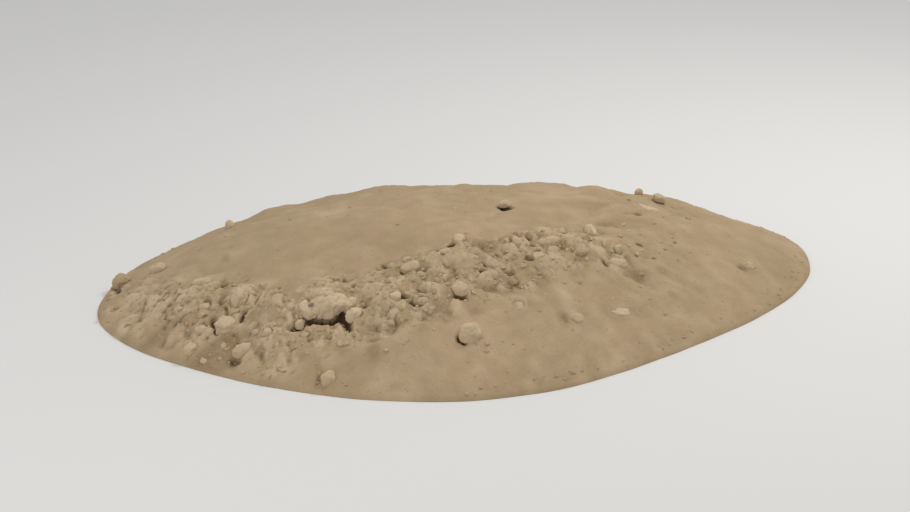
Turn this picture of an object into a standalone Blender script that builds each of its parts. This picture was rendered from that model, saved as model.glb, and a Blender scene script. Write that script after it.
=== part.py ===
"""A low termite mound of dry clay soil, with loose clods lying on it.

Blender 4.5. Units are metres and +Z is up. +X runs along the mound's long axis, and the side
with most of the clods faces -Y. The mound is cut off flat at the ground, at z = 0, and the
origin is at the middle of that cut. Each loose clod is an object of its own. Clods that the
soil has grown over are lumps of the mound itself.
"""

import math
import random
from dataclasses import dataclass

import bmesh
import bpy
from mathutils import Matrix, Vector, noise

# The mound's plan is a rounded oval, a little blunter at one end, and its profile a low dome
HALF_LENGTH = 0.780
HALF_DEPTH = 0.545
DOME_HEIGHT = 0.180
ROUNDNESS = 1.82
EGG = 0.052
EGG_TURN = math.radians(42.6)
FLANK_POWER = 0.94
RIM_WOBBLE = 0.006
RIM_WAVES = 6.0
TOE_STEP = 0.003

# The skin rises and falls in broad swells, and is broken up in the rubble
SWELL_SPAN = 0.21
SWELL_RISE = 0.008
RUBBLE_SPAN = 0.030
RUBBLE_RISE = 0.011
SMOOTH_SHARE = 0.12

# Rings of the mound's net: ring k has 6 k corners
RINGS = 32

# The rubble lies in a band that runs from the left toe, across the front, up to the right
RUBBLE_LINE = ((-0.70, -0.01), (-0.54, -0.20), (-0.36, -0.30), (-0.19, -0.33), (-0.01, -0.30),
               (0.14, -0.23), (0.27, -0.24), (0.42, -0.05), (0.47, 0.10))
RUBBLE_WIDTH = 0.105
RUBBLE_LUMPS = 150
SCATTERED_LUMPS = 60
SCATTERED_SHARE = 0.45
LUMP_SPAN = (0.022, 0.050)
LUMP_RISE = (0.28, 0.46)

# Loose clods are sunk in the skin by this share of their height, and clear it by the gap
SUNK = 0.40
GAP = 0.0004
CLOD_CORNERS = 18
CLOD_ROUGHNESS = 0.17
SMOOTH_UNDER = math.radians(24)

SKIN_COLOUR = (169, 146, 117)
CLOD_COLOUR = (182, 161, 132)
CLAY_ROUGHNESS = 0.95


@dataclass(frozen=True)
class Swell:
    """A broad lump (or, with a negative rise, a hollow) that is one with the mound."""
    x: float
    y: float
    length: float
    width: float
    turn: float
    rise: float


@dataclass(frozen=True)
class Clod:
    """A loose clod: its middle on the mound, its size and its turn from above in degrees."""
    name: str
    x: float
    y: float
    length: float
    width: float
    height: float
    turn: float = 0.0


# Lumps, ledges and hollows of the skin
SWELLS = (
    Swell(-0.672, -0.085, 0.120, 0.060, 15, 0.012),
    Swell(-0.640, -0.010, 0.100, 0.050, -20, 0.010),
    Swell(-0.576, -0.075, 0.110, 0.070, 20, 0.012),
    Swell(-0.500, -0.170, 0.150, 0.110, -35, 0.014),
    Swell(-0.440, -0.255, 0.130, 0.090, -20, 0.016),
    Swell(-0.350, -0.262, 0.160, 0.090, -10, 0.014),
    Swell(-0.235, -0.285, 0.120, 0.080, -15, 0.016),
    Swell(-0.170, -0.236, 0.075, 0.050, -20, 0.011),
    Swell(-0.110, -0.345, 0.120, 0.080, 10, 0.013),
    Swell(-0.052, -0.190, 0.110, 0.080, 20, 0.008),
    Swell(-0.130, -0.430, 0.110, 0.080, 0, 0.010),
    Swell(0.131, -0.200, 0.110, 0.060, -12, 0.011),
    Swell(0.235, -0.225, 0.150, 0.110, 15, 0.013),
    Swell(0.395, -0.060, 0.170, 0.110, -15, 0.013),
    Swell(0.440, 0.095, 0.110, 0.080, 5, 0.006),
    Swell(0.583, -0.165, 0.110, 0.070, -10, 0.008),
    Swell(-0.450, 0.205, 0.120, 0.090, 30, 0.006),
    Swell(0.085, -0.055, 0.090, 0.070, 0, 0.006),
    Swell(-0.110, 0.250, 0.180, 0.130, 10, 0.010),
    Swell(0.280, 0.260, 0.190, 0.120, -20, 0.012),
    Swell(-0.325, 0.370, 0.150, 0.090, 20, 0.010),
    Swell(0.000, -0.225, 0.095, 0.075, 10, -0.012),
    Swell(0.012, -0.335, 0.090, 0.055, 0, -0.010),
    Swell(0.302, -0.305, 0.110, 0.060, -10, -0.010),
    Swell(0.345, -0.195, 0.080, 0.060, 0, -0.011),
    Swell(-0.355, -0.330, 0.120, 0.045, -8, -0.016),
    Swell(-0.262, -0.385, 0.090, 0.055, -10, -0.012),
    Swell(-0.536, -0.300, 0.070, 0.050, 20, -0.009),
    Swell(-0.475, -0.095, 0.100, 0.060, 10, -0.008),
    Swell(0.180, -0.110, 0.120, 0.080, 25, -0.007),
    Swell(0.060, 0.330, 0.140, 0.090, 5, -0.010),
    Swell(-0.210, 0.110, 0.150, 0.110, 0, -0.007),
)

# The largest clod is a few lumps stuck together
MAIN_CLOD_LUMPS = (
    Clod("main_clod", -0.344, -0.296, 0.086, 0.056, 0.046, 8),
    Clod("main_clod_left_lump", -0.382, -0.288, 0.052, 0.044, 0.040, -25),
    Clod("main_clod_right_lump", -0.308, -0.298, 0.048, 0.040, 0.036, 35),
    Clod("main_clod_top_lump", -0.350, -0.280, 0.064, 0.044, 0.050, -10),
)

LOOSE_CLODS = (
    Clod("clod_bright", -0.307, -0.342, 0.042, 0.034, 0.038, 10),
    Clod("clod_prop", -0.404, -0.308, 0.028, 0.022, 0.024, 0),
    Clod("clod_left_toe", -0.687, 0.172, 0.058, 0.052, 0.048, 25),
    Clod("clod_slanted", -0.497, -0.188, 0.070, 0.040, 0.044, 40),
    Clod("clod_round", -0.532, -0.232, 0.060, 0.052, 0.054, 0),
    Clod("clod_crescent", -0.575, -0.206, 0.048, 0.026, 0.024, -50),
    Clod("clod_left_small", -0.560, -0.153, 0.032, 0.028, 0.028, 15),
    Clod("clod_left_bar", -0.551, -0.078, 0.054, 0.028, 0.028, 5),
    Clod("clod_toe_1", -0.604, -0.236, 0.042, 0.034, 0.032, 30),
    Clod("clod_toe_2", -0.516, -0.302, 0.052, 0.034, 0.034, -10),
    Clod("clod_toe_3", -0.378, -0.440, 0.040, 0.032, 0.030, 15),
    Clod("clod_left_ridge", -0.614, 0.132, 0.048, 0.032, 0.030, -12),
    Clod("clod_peak", -0.448, 0.205, 0.026, 0.023, 0.036, 0),
    Clod("clod_middle_1", -0.223, -0.328, 0.036, 0.030, 0.032, 30),
    Clod("clod_middle_2", -0.171, -0.348, 0.031, 0.027, 0.036, -25),
    Clod("clod_middle_3", -0.100, -0.356, 0.042, 0.030, 0.030, 5),
    Clod("clod_upper_1", -0.053, -0.188, 0.036, 0.032, 0.034, 40),
    Clod("clod_upper_2", 0.092, -0.036, 0.034, 0.026, 0.026, -10),
    Clod("clod_leaning", 0.230, -0.166, 0.058, 0.034, 0.046, 98),
    Clod("clod_right_1", 0.252, -0.272, 0.054, 0.034, 0.034, -8),
    Clod("clod_right_2", 0.266, -0.242, 0.028, 0.022, 0.022, 20),
    Clod("clod_right_slab", 0.421, -0.032, 0.096, 0.050, 0.030, -10),
    Clod("clod_ridge_1", 0.446, 0.095, 0.025, 0.022, 0.026, 0),
    Clod("clod_ridge_2", 0.488, 0.079, 0.038, 0.026, 0.019, -15),
    Clod("clod_front", -0.110, -0.448, 0.054, 0.046, 0.048, 20),
    Clod("clod_front_pale_1", 0.114, -0.418, 0.040, 0.031, 0.026, 10),
    Clod("clod_front_pale_2", 0.215, -0.388, 0.048, 0.032, 0.024, -12),
    Clod("clod_front_pale_3", 0.005, -0.387, 0.036, 0.027, 0.023, 0),
    Clod("clod_far_right", 0.578, -0.201, 0.042, 0.034, 0.028, 20),
    Clod("crust_plate", -0.169, -0.248, 0.058, 0.030, 0.020, -22),
    Clod("clod_crest_slab", 0.127, -0.214, 0.062, 0.028, 0.024, -14),
    Clod("clod_crest_small", 0.090, -0.256, 0.034, 0.026, 0.022, 10),
    Clod("clod_low_left", -0.466, -0.306, 0.036, 0.029, 0.028, -30),
    Clod("clod_back_1", -0.250, 0.480, 0.044, 0.036, 0.032, 15),
    Clod("clod_back_2", -0.045, 0.435, 0.042, 0.033, 0.032, -25),
    Clod("clod_back_3", 0.196, 0.429, 0.054, 0.040, 0.038, 35),
    Clod("clod_back_4", 0.352, 0.335, 0.036, 0.029, 0.028, 0),
    Clod("clod_back_5", 0.258, 0.415, 0.032, 0.026, 0.024, 50),
    Clod("clod_back_6", -0.130, 0.490, 0.038, 0.030, 0.028, -40),
    Clod("clod_back_7", 0.602, 0.260, 0.038, 0.030, 0.026, 10),
)


def clear_scene():
    """Remove whatever the open file holds."""
    for old in list(bpy.data.objects):
        bpy.data.objects.remove(old, do_unlink=True)


def clay(name, colour):
    """A matt clay material of an sRGB colour, each value from 0 to 255."""
    material = bpy.data.materials.new(name)
    material.use_nodes = True
    shader = material.node_tree.nodes["Principled BSDF"]
    linear = [((value / 255 + 0.055) / 1.055) ** 2.4 for value in colour]
    shader.inputs["Base Color"].default_value = (*linear, 1.0)
    shader.inputs["Roughness"].default_value = CLAY_ROUGHNESS
    material.diffuse_color = (*linear, 1.0)
    return material


def plan_radius(angle):
    """How far the toe is from the middle, in the direction of an angle."""
    along = abs(math.cos(angle) / HALF_LENGTH) ** ROUNDNESS
    across = abs(math.sin(angle) / HALF_DEPTH) ** ROUNDNESS
    oval = (along + across) ** (-1 / ROUNDNESS)
    egg = 1 + EGG * math.cos(3 * angle - EGG_TURN)
    wobble = noise.noise(RIM_WAVES * Vector((math.cos(angle), math.sin(angle), 1.0)))
    return oval * egg * (1 + RIM_WOBBLE * wobble)


def share_out(x, y):
    """0 at the middle of the mound and 1 at its toe."""
    return math.hypot(x, y) / plan_radius(math.atan2(y, x))


def smooth_step(value):
    """0 below 0, 1 above 1 and an even rise between."""
    value = min(max(value, 0.0), 1.0)
    return value * value * (3 - 2 * value)


def distance_to_line(x, y, line):
    """The distance in plan from a point to a run of straight stretches."""
    point = Vector((x, y))
    nearest = math.inf
    for start, end in zip(line, line[1:]):
        start = Vector(start)
        stretch = Vector(end) - start
        share = min(max((point - start).dot(stretch) / stretch.length_squared, 0.0), 1.0)
        nearest = min(nearest, (point - start - stretch * share).length)
    return nearest


def in_rubble(x, y):
    """1 in the middle of the rubble band and 0 well away from it."""
    return smooth_step(1.6 - distance_to_line(x, y, RUBBLE_LINE) / RUBBLE_WIDTH)


def cap(x, y, swell):
    """The height of a rounded lump at a point, 0 outside it."""
    turn = math.radians(swell.turn)
    right = (x - swell.x) * math.cos(turn) + (y - swell.y) * math.sin(turn)
    ahead = (y - swell.y) * math.cos(turn) - (x - swell.x) * math.sin(turn)
    distance = (2 * right / swell.length) ** 2 + (2 * ahead / swell.width) ** 2
    return swell.rise * max(0.0, 1 - distance)


def rubble_lumps():
    """Small lumps fused to the skin: most of them in the band, some anywhere."""
    draw = random.Random(11)
    lumps = []
    while len(lumps) < RUBBLE_LUMPS + SCATTERED_LUMPS:
        x = draw.uniform(-HALF_LENGTH, HALF_LENGTH)
        y = draw.uniform(-HALF_DEPTH, HALF_DEPTH)
        length = draw.uniform(*LUMP_SPAN)
        width = length * draw.uniform(0.6, 1.0)
        turn = draw.uniform(0, 180)
        rise = width * draw.uniform(*LUMP_RISE)
        if share_out(x, y) > 0.95:
            continue
        if len(lumps) < RUBBLE_LUMPS and draw.random() > in_rubble(x, y):
            continue
        if len(lumps) >= RUBBLE_LUMPS:
            rise *= SCATTERED_SHARE
        lumps.append(Swell(x, y, 2 * length, 2 * width, turn, rise))
    return lumps


def surface_height(x, y, lumps):
    """The height of the mound's skin over the ground."""
    out = min(share_out(x, y), 1.0)
    dome = DOME_HEIGHT * (1 - out * out) ** FLANK_POWER
    inside = smooth_step((1 - out) / 0.14)
    swell = SWELL_RISE * noise.noise(Vector((x / SWELL_SPAN, y / SWELL_SPAN, 1.7)))
    broken = RUBBLE_RISE * noise.noise(Vector((x / RUBBLE_SPAN, y / RUBBLE_SPAN, 8.3)))
    broad = sum(cap(x, y, piece) for piece in SWELLS)
    rubble = max(cap(x, y, lump) for lump in lumps)
    rough = SMOOTH_SHARE + (1 - SMOOTH_SHARE) * in_rubble(x, y)
    relief = swell + broad + rubble + rough * broken
    return TOE_STEP + dome + inside * relief


def mound_net(lumps, lift=0.0):
    """The closed body of the mound: a net of rings, a low toe all round and a flat base."""
    mesh = bmesh.new()
    rings = [[mesh.verts.new((0, 0, surface_height(0, 0, lumps) + lift))]]
    for ring in range(1, RINGS + 1):
        corners = []
        for step in range(6 * ring):
            angle = math.tau * step / (6 * ring)
            reach = plan_radius(angle) * ring / RINGS
            x = reach * math.cos(angle)
            y = reach * math.sin(angle)
            corners.append(mesh.verts.new((x, y, surface_height(x, y, lumps) + lift)))
        rings.append(corners)
    for ring in range(1, RINGS + 1):
        inner = rings[ring - 1]
        outer = rings[ring]
        for side in range(6):
            for step in range(ring):
                first = outer[side * ring + step]
                second = outer[(side * ring + step + 1) % len(outer)]
                behind = inner[(side * (ring - 1) + step) % len(inner)]
                mesh.faces.new((first, second, behind))
                if step < ring - 1:
                    beside = inner[(side * (ring - 1) + step + 1) % len(inner)]
                    mesh.faces.new((behind, second, beside))
    toe = rings[-1]
    ground = [mesh.verts.new((corner.co.x, corner.co.y, 0.0)) for corner in toe]
    for step in range(len(toe)):
        after = (step + 1) % len(toe)
        mesh.faces.new((ground[step], ground[after], toe[after], toe[step]))
    mesh.faces.new(list(reversed(ground)))
    return mesh


def add_object(name, mesh, material, parent):
    """Make an object of a bmesh, shaded smooth but for its sharp edges."""
    data = bpy.data.meshes.new(name)
    mesh.to_mesh(data)
    mesh.free()
    data.shade_smooth()
    data.set_sharp_from_angle(angle=SMOOTH_UNDER)
    data.materials.append(material)
    thing = bpy.data.objects.new(name, data)
    thing.parent = parent
    bpy.context.collection.objects.link(thing)
    return thing


def make_guide(thing):
    """Hide an object that only cuts or joins others."""
    thing.hide_render = True
    thing.display_type = "WIRE"


def add_boolean(thing, other, operation):
    """Cut an object with another, or join the other to it."""
    modifier = thing.modifiers.new(operation.title(), "BOOLEAN")
    modifier.operation = operation
    modifier.object = other
    modifier.solver = "EXACT"


def clod_hull(clod, seed):
    """An angular lump: the hull of points spread over an ellipsoid, some nearer than others."""
    draw = random.Random(seed)
    mesh = bmesh.new()
    golden = math.pi * (3 - math.sqrt(5))
    for index in range(CLOD_CORNERS):
        height = 1 - 2 * (index + 0.5) / CLOD_CORNERS
        angle = golden * index + draw.uniform(-0.35, 0.35)
        across = math.sqrt(1 - height * height)
        reach = 1 - draw.uniform(0, 2) * CLOD_ROUGHNESS
        mesh.verts.new((reach * across * math.cos(angle) * clod.length / 2,
                        reach * across * math.sin(angle) * clod.width / 2,
                        reach * height * clod.height / 2))
    hull = bmesh.ops.convex_hull(mesh, input=mesh.verts)
    spare = [piece for piece in hull["geom_interior"] if isinstance(piece, bmesh.types.BMVert)]
    bmesh.ops.delete(mesh, geom=spare, context="VERTS")
    bmesh.ops.recalc_face_normals(mesh, faces=mesh.faces)
    return mesh


def skin_direction(x, y, lumps, reach=0.02):
    """The way the skin faces at a point, over a little more than the point itself."""
    slope_x = surface_height(x + reach, y, lumps) - surface_height(x - reach, y, lumps)
    slope_y = surface_height(x, y + reach, lumps) - surface_height(x, y - reach, lumps)
    return Vector((-slope_x, -slope_y, 2 * reach)).normalized()


def add_clod(clod, seed, lumps, material, parent):
    """A clod lying on the skin, tipped the way the skin slopes."""
    thing = add_object(clod.name, clod_hull(clod, seed), material, parent)
    tip = Vector((0, 0, 1)).rotation_difference(skin_direction(clod.x, clod.y, lumps))
    turn = Matrix.Rotation(math.radians(clod.turn), 3, "Z")
    thing.rotation_euler = (tip.to_matrix() @ turn).to_euler()
    height = surface_height(clod.x, clod.y, lumps) + clod.height * (0.5 - SUNK)
    thing.location = (clod.x, clod.y, height)
    return thing


def outline_middle():
    """The middle of the box around the mound's plan."""
    angles = [math.tau * step / (6 * RINGS) for step in range(6 * RINGS)]
    across = [plan_radius(angle) * math.cos(angle) for angle in angles]
    ahead = [plan_radius(angle) * math.sin(angle) for angle in angles]
    return Vector(((min(across) + max(across)) / 2, (min(ahead) + max(ahead)) / 2, 0))


def build():
    """Make the mound and lay every clod on it."""
    clear_scene()
    centre = bpy.data.objects.new("ground_centre", None)
    centre.location = -outline_middle()
    bpy.context.collection.objects.link(centre)

    lumps = rubble_lumps()
    skin = clay("mound clay", SKIN_COLOUR)
    add_object("mound", mound_net(lumps), skin, centre)
    lifted = add_object("lifted_skin", mound_net(lumps, lift=GAP), skin, centre)
    make_guide(lifted)

    parts = []
    for index, lump in enumerate(MAIN_CLOD_LUMPS):
        material = clay(lump.name, CLOD_COLOUR)
        parts.append(add_clod(lump, 500 + index, lumps, material, centre))
    main_clod = parts[0]
    for part in parts[1:]:
        make_guide(part)
        add_boolean(main_clod, part, "UNION")
    add_boolean(main_clod, lifted, "DIFFERENCE")

    for index, clod in enumerate(LOOSE_CLODS):
        material = clay(clod.name, CLOD_COLOUR)
        thing = add_clod(clod, 100 + index, lumps, material, centre)
        add_boolean(thing, lifted, "DIFFERENCE")


build()
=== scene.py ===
# %% [markdown]
# # A low termite mound
# Termites carry clay up grain by grain and glue it with saliva. Rain melts the outside of a
# low mound to a smooth skin, and where the skin gives way it breaks into angular clods and
# crumbs. This lesson dresses the plain solids of such a mound: first the place it is seen
# from, then the skin, the loose crust, the clods, the crumbs, the clay itself and the light.

# %% Load the solid parts
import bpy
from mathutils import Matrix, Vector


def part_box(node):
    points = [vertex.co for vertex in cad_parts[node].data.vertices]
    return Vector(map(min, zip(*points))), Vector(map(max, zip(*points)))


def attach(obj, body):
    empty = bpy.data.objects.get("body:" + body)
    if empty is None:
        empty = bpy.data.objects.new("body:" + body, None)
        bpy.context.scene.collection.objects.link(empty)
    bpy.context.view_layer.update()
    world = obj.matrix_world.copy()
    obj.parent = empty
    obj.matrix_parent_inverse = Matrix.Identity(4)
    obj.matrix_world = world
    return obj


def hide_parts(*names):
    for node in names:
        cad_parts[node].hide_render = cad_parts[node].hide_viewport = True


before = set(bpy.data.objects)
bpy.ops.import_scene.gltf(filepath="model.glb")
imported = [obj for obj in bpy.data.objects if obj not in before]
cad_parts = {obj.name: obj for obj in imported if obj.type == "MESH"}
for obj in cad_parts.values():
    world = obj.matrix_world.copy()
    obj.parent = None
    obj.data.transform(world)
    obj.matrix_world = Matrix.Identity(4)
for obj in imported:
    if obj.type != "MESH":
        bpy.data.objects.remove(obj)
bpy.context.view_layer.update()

# %% Blender's modules
import math
import bmesh
import bpy
import numpy as np
from mathutils import Matrix, Vector, noise
from mathutils.bvhtree import BVHTree

# Without a seed the noise vectors would start from the clock and differ from run to run.
NOISE_SEED = 5
noise.seed_set(NOISE_SEED)

# %% [markdown]
# ## The camera
# The photo was taken from a little above a crouching height, with the mound's long axis
# turned somewhat away. Setting the camera first lets a pixel of the photo name a place on the
# mound: a ray through the pixel is followed until it meets the solid.

# %% The camera at the photo's viewing angle
PHOTO_WIDTH = 910
PHOTO_HEIGHT = 512
LENS_IN_PIXELS = 1774
SENSOR_MM = 36.0
VIEW_AZIMUTH = math.radians(-16.5)
VIEW_ELEVATION = math.radians(20)
VIEW_DISTANCE = 3.75
AIM = Vector((-0.035, 0.019, 0.070))

camera_data = bpy.data.cameras.new("camera")
camera_data.sensor_width = SENSOR_MM
camera_data.lens = LENS_IN_PIXELS / PHOTO_WIDTH * SENSOR_MM
camera = bpy.data.objects.new("camera", camera_data)
bpy.context.collection.objects.link(camera)
towards_camera = Vector((math.sin(VIEW_AZIMUTH) * math.cos(VIEW_ELEVATION),
                         -math.cos(VIEW_AZIMUTH) * math.cos(VIEW_ELEVATION),
                         math.sin(VIEW_ELEVATION)))
camera.location = AIM + VIEW_DISTANCE * towards_camera
camera.rotation_euler = (-towards_camera).to_track_quat("-Z", "Y").to_euler()
bpy.context.scene.camera = camera
print("camera height:", round(camera.location.z, 2), "m, lens:", round(camera_data.lens, 1), "mm")

# %% Where a pixel of the photo lies on the mound
mound_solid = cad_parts["mound"]
solid_tree = BVHTree.FromObject(mound_solid, bpy.context.evaluated_depsgraph_get())
METRES_PER_PIXEL = VIEW_DISTANCE / LENS_IN_PIXELS
ROWS_TO_TRY = 12


def pixel_ray(across, down):
    """The direction in which the camera sees a pixel of the photo."""
    ray = Vector((across - PHOTO_WIDTH / 2, PHOTO_HEIGHT / 2 - down, -LENS_IN_PIXELS))
    return camera.rotation_euler.to_matrix() @ ray.normalized()


def spot(across, down):
    """The point of the mound that shows at a pixel of the photo, or the nearest one below it."""
    for lower in range(ROWS_TO_TRY):
        place = solid_tree.ray_cast(camera.location, pixel_ray(across, down + lower))[0]
        if place:
            return place
    raise ValueError(f"no mound at pixel {across}, {down}")


print("middle of the photo is at", tuple(round(value, 3) for value in spot(455, 290)))

# %% [markdown]
# ## The net of the skin
# The mound is one body, so its skin is one mesh. A disc of rings, in which ring k has 6 k
# corners, gives even triangles without a seam. Its outline is read from the solid's flat
# base, and its heights by dropping a ray on the solid from above at each corner.

# %% Rings of triangles
RINGS = 178
JITTER = 0.0009


def ring_start(ring):
    """The number of the first corner of a ring."""
    return 1 + 3 * ring * (ring - 1) if ring else 0


def ring_net(rings):
    """How far out each corner of the disc is, its angle, and the triangles."""
    outs = [0.0]
    angles = [0.0]
    triangles = []
    for ring in range(1, rings + 1):
        outs += [ring / rings] * (6 * ring)
        angles += [math.tau * step / (6 * ring) for step in range(6 * ring)]
        outer = ring_start(ring)
        inner = ring_start(ring - 1)
        inner_count = max(6 * (ring - 1), 1)
        for side in range(6):
            for step in range(ring):
                first = outer + side * ring + step
                second = outer + (side * ring + step + 1) % (6 * ring)
                behind = inner + (side * (ring - 1) + step) % inner_count
                triangles.append((first, second, behind))
                if step < ring - 1:
                    beside = inner + (side * (ring - 1) + step + 1) % inner_count
                    triangles.append((behind, second, beside))
    return np.array(outs), np.array(angles), np.array(triangles)


out_share, out_angle, skin_triangles = ring_net(RINGS)
print("corners:", len(out_share), "triangles:", len(skin_triangles))

# %% The outline of the solid
FLAT_BASE = 1e-5
JITTERED_WITHIN = 0.995


def corner_places(mesh):
    """The places of a mesh's corners."""
    return np.array([tuple(vertex.co) for vertex in mesh.vertices])


base = corner_places(mound_solid.data)
base = base[base[:, 2] < FLAT_BASE]
base_angle = np.arctan2(base[:, 1], base[:, 0])
base_reach = np.hypot(base[:, 0], base[:, 1])


def toe_reach(angle):
    """How far the toe is from the origin in each direction."""
    return np.interp(angle, base_angle, base_reach, period=math.tau)


draw = np.random.default_rng(3)
reach = toe_reach(out_angle) * out_share
inner = out_share < JITTERED_WITHIN
skin_x = reach * np.cos(out_angle) + inner * draw.uniform(-JITTER, JITTER, len(reach))
skin_y = reach * np.sin(out_angle) + inner * draw.uniform(-JITTER, JITTER, len(reach))
print("the toe is", round(base_reach.min(), 3), "to", round(base_reach.max(), 3), "m from the origin")

# %% The heights of the solid, by rays from above that stay just inside the toe
ABOVE_ALL = 1.0
UP = Vector((0, 0, 1))
DOWN = Vector((0, 0, -1))
JUST_INSIDE = 0.9995


def drop(x, y, tree):
    """Where a ray from above meets a surface: the place, its direction and its triangle."""
    return tree.ray_cast(Vector((x, y, ABOVE_ALL)), DOWN)[:3]


def solid_top(x, y):
    """The height of the solid mound at a point."""
    place = drop(x * JUST_INSIDE, y * JUST_INSIDE, solid_tree)[0]
    return place.z if place else 0.0


solid_height = np.array([solid_top(x, y) for x, y in zip(skin_x.tolist(), skin_y.tolist())])
print("highest point of the solid:", round(solid_height.max(), 4))

# %% [markdown]
# ## Melting the facets
# The solid has facets 25 mm wide. Averaging each corner with its neighbours, many times over,
# melts them as rain does. The same averaging, run on the finished relief, later tells hollows
# from crests, because a hollow lies under the average around it.

# %% A net that can average over neighbours and find the corners near a point
OWN_WEIGHT = 0.4
FACET_ROUNDS = 24


class Net:
    """The corners of a net in plan, with the lumps and the tone that are laid on it."""

    def __init__(self, x, y, triangles):
        self.x = x
        self.y = y
        edges = np.concatenate([triangles[:, [0, 1]], triangles[:, [1, 2]], triangles[:, [2, 0]]])
        self.start, self.end = np.unique(np.sort(edges, axis=1), axis=0).T
        self.neighbours = np.bincount(self.start, minlength=len(x)) + np.bincount(self.end, minlength=len(x))
        self.order = np.argsort(x)
        self.sorted_x = x[self.order]
        self.lumps = np.zeros(len(x))
        self.tone = np.zeros(len(x))

    def melt(self, values, rounds):
        """The values averaged with their neighbours, again and again."""
        for _ in range(rounds):
            around = np.bincount(self.start, values[self.end], len(values))
            around += np.bincount(self.end, values[self.start], len(values))
            values = OWN_WEIGHT * values + (1 - OWN_WEIGHT) * around / self.neighbours
        return values

    def near(self, x, y, reach):
        """The numbers of the corners in a square around a point."""
        first, last = np.searchsorted(self.sorted_x, (x - reach, x + reach))
        some = self.order[first:last]
        return some[np.abs(self.y[some] - y) < reach]


skin = Net(skin_x, skin_y, skin_triangles)
melted = skin.melt(solid_height, FACET_ROUNDS)
print("melting moved the skin by up to", round(np.abs(melted - solid_height).max() * 1000, 1), "mm")

# %% [markdown]
# ## Where the rubble lies
# The photo shows broken ground in a band from the left toe, past the big clods, up to the
# right of the crest. The band is a line of pixels laid on the mound. A mask that fades with
# the distance from it steers everything rough, so that one change moves all of it.

# %% The band of rubble: pixels, and how broken the ground is there from 0 to 1
RUBBLE_PIXELS = ((112, 300, 0.36), (160, 306, 0.55), (228, 312, 0.95), (280, 318, 0.85),
                 (330, 312, 0.95), (372, 306, 0.80), (412, 290, 0.80), (460, 276, 0.75),
                 (512, 262, 0.56), (560, 250, 0.36), (612, 256, 0.30), (640, 232, 0.25),
                 (652, 206, 0.30))
RUBBLE_WIDTH = 0.080


def smooth_step(values):
    """0 below 0, 1 above 1, and an even rise between."""
    values = np.clip(values, 0, 1)
    return values * values * (3 - 2 * values)


def fade(values, whole, gone):
    """1 up to the value named whole, 0 from the value named gone on, and an even fall between."""
    return smooth_step((gone - values) / (gone - whole))


def distance_to_line(x, y, line):
    """The distance in plan from each point to a run of straight stretches."""
    nearest = np.full(len(x), np.inf)
    for start, end in zip(line, line[1:]):
        along_x = end.x - start.x
        along_y = end.y - start.y
        share = (x - start.x) * along_x + (y - start.y) * along_y
        share = np.clip(share / (along_x ** 2 + along_y ** 2), 0, 1)
        distance = np.hypot(x - start.x - share * along_x, y - start.y - share * along_y)
        nearest = np.minimum(nearest, distance)
    return nearest


rubble_line = [spot(across, down) for across, down, _ in RUBBLE_PIXELS]
rubble_strength = [strength for _, _, strength in RUBBLE_PIXELS]
print("the band of rubble has", len(rubble_line), "points")

# %% How broken the ground is at any point


def soft_noise(places, span, seed):
    """Smooth noise from -1 to 1 at places, with swells about as wide as the span."""
    moved = places / span + 7.31 * seed
    return np.array([noise.noise(place) for place in moved.tolist()])


def straying(places):
    """How far the edge of the rubble strays, so that it isn't an even curve."""
    return 0.55 * soft_noise(places, 0.09, 1)


def rubble_share(x, y, stray=0.0):
    """1 in the thick of the rubble, 0 on the smooth skin."""
    share = np.zeros(len(x))
    for stretch in range(len(rubble_line) - 1):
        away = distance_to_line(x, y, rubble_line[stretch:stretch + 2]) / RUBBLE_WIDTH
        strength = (rubble_strength[stretch] + rubble_strength[stretch + 1]) / 2
        share = np.maximum(share, strength * fade(away - stray, 0.40, 1.75))
    return share


def rubble_at(x, y):
    """The share of rubble at one point."""
    return float(rubble_share(np.array([x]), np.array([y]))[0])


flat_places = np.column_stack([skin_x, skin_y, np.zeros_like(skin_x)])
ragged = straying(flat_places)
rubble = rubble_share(skin_x, skin_y, ragged)
print("share of the mound that is rubble:", round(rubble.mean(), 2))

# %% [markdown]
# ## Swells and ripples
# Even the smooth skin is never flat. Noise at a few spans, each with a smaller rise, gives
# the soft dents of rain-melted clay. On the right it is drawn out along the mound, because
# water ran and dried there in low ripples.

# %% Relief of the smooth skin, in layers of noise: places, rise, span, seed and where it shows
inside = fade(out_share, 0.978, 1)
drawn_out = flat_places * np.array([0.35, 1.0, 1.0])
on_the_right = smooth_step((skin_x + 0.1) / 0.4)
layers = (
    (flat_places, 0.0034, 0.085, 2, 1),
    (flat_places, 0.0024, 0.034, 3, 1),
    (flat_places, 0.0014, 0.016, 4, 0.55 + rubble),
    (flat_places, 0.0007, 0.009, 5, 0.7 + rubble),
    (drawn_out, 0.0022, 0.022, 6, on_the_right * (1 - rubble)),
    (flat_places, 0.0046, 0.028, 7, rubble),
)
relief = np.zeros(len(reach))
for places, rise, span, seed, where in layers:
    relief += rise * soft_noise(places, span, seed) * where
print("smooth relief:", round(np.ptp(relief) * 1000, 1), "mm")

# %% The tone of the smooth skin, mottled in three sizes
skin.tone = 0.5 + 0.26 * soft_noise(flat_places, 0.11, 8) + 0.32 * soft_noise(flat_places, 0.03, 9)
skin.tone += 0.28 * soft_noise(flat_places * np.array([0.6, 1.0, 1.0]), 0.014, 10)
print("tone from", round(skin.tone.min(), 2), "to", round(skin.tone.max(), 2))

# %% Broad swells that shape the skyline: pixel, radius and rise in metres
SWELLS = ((435, 192, 0.130, 0.0085), (682, 208, 0.060, -0.0080), (140, 270, 0.070, -0.0040),
          (262, 216, 0.080, -0.0045), (556, 190, 0.050, -0.0030))

for across, down, radius, rise in SWELLS:
    place = spot(across, down)
    out = np.hypot(skin_x - place.x, skin_y - place.y) / radius
    relief += rise * fade(out, 0.5, 1.5)
print("with swells:", round(np.ptp(relief) * 1000, 1), "mm")

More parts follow.
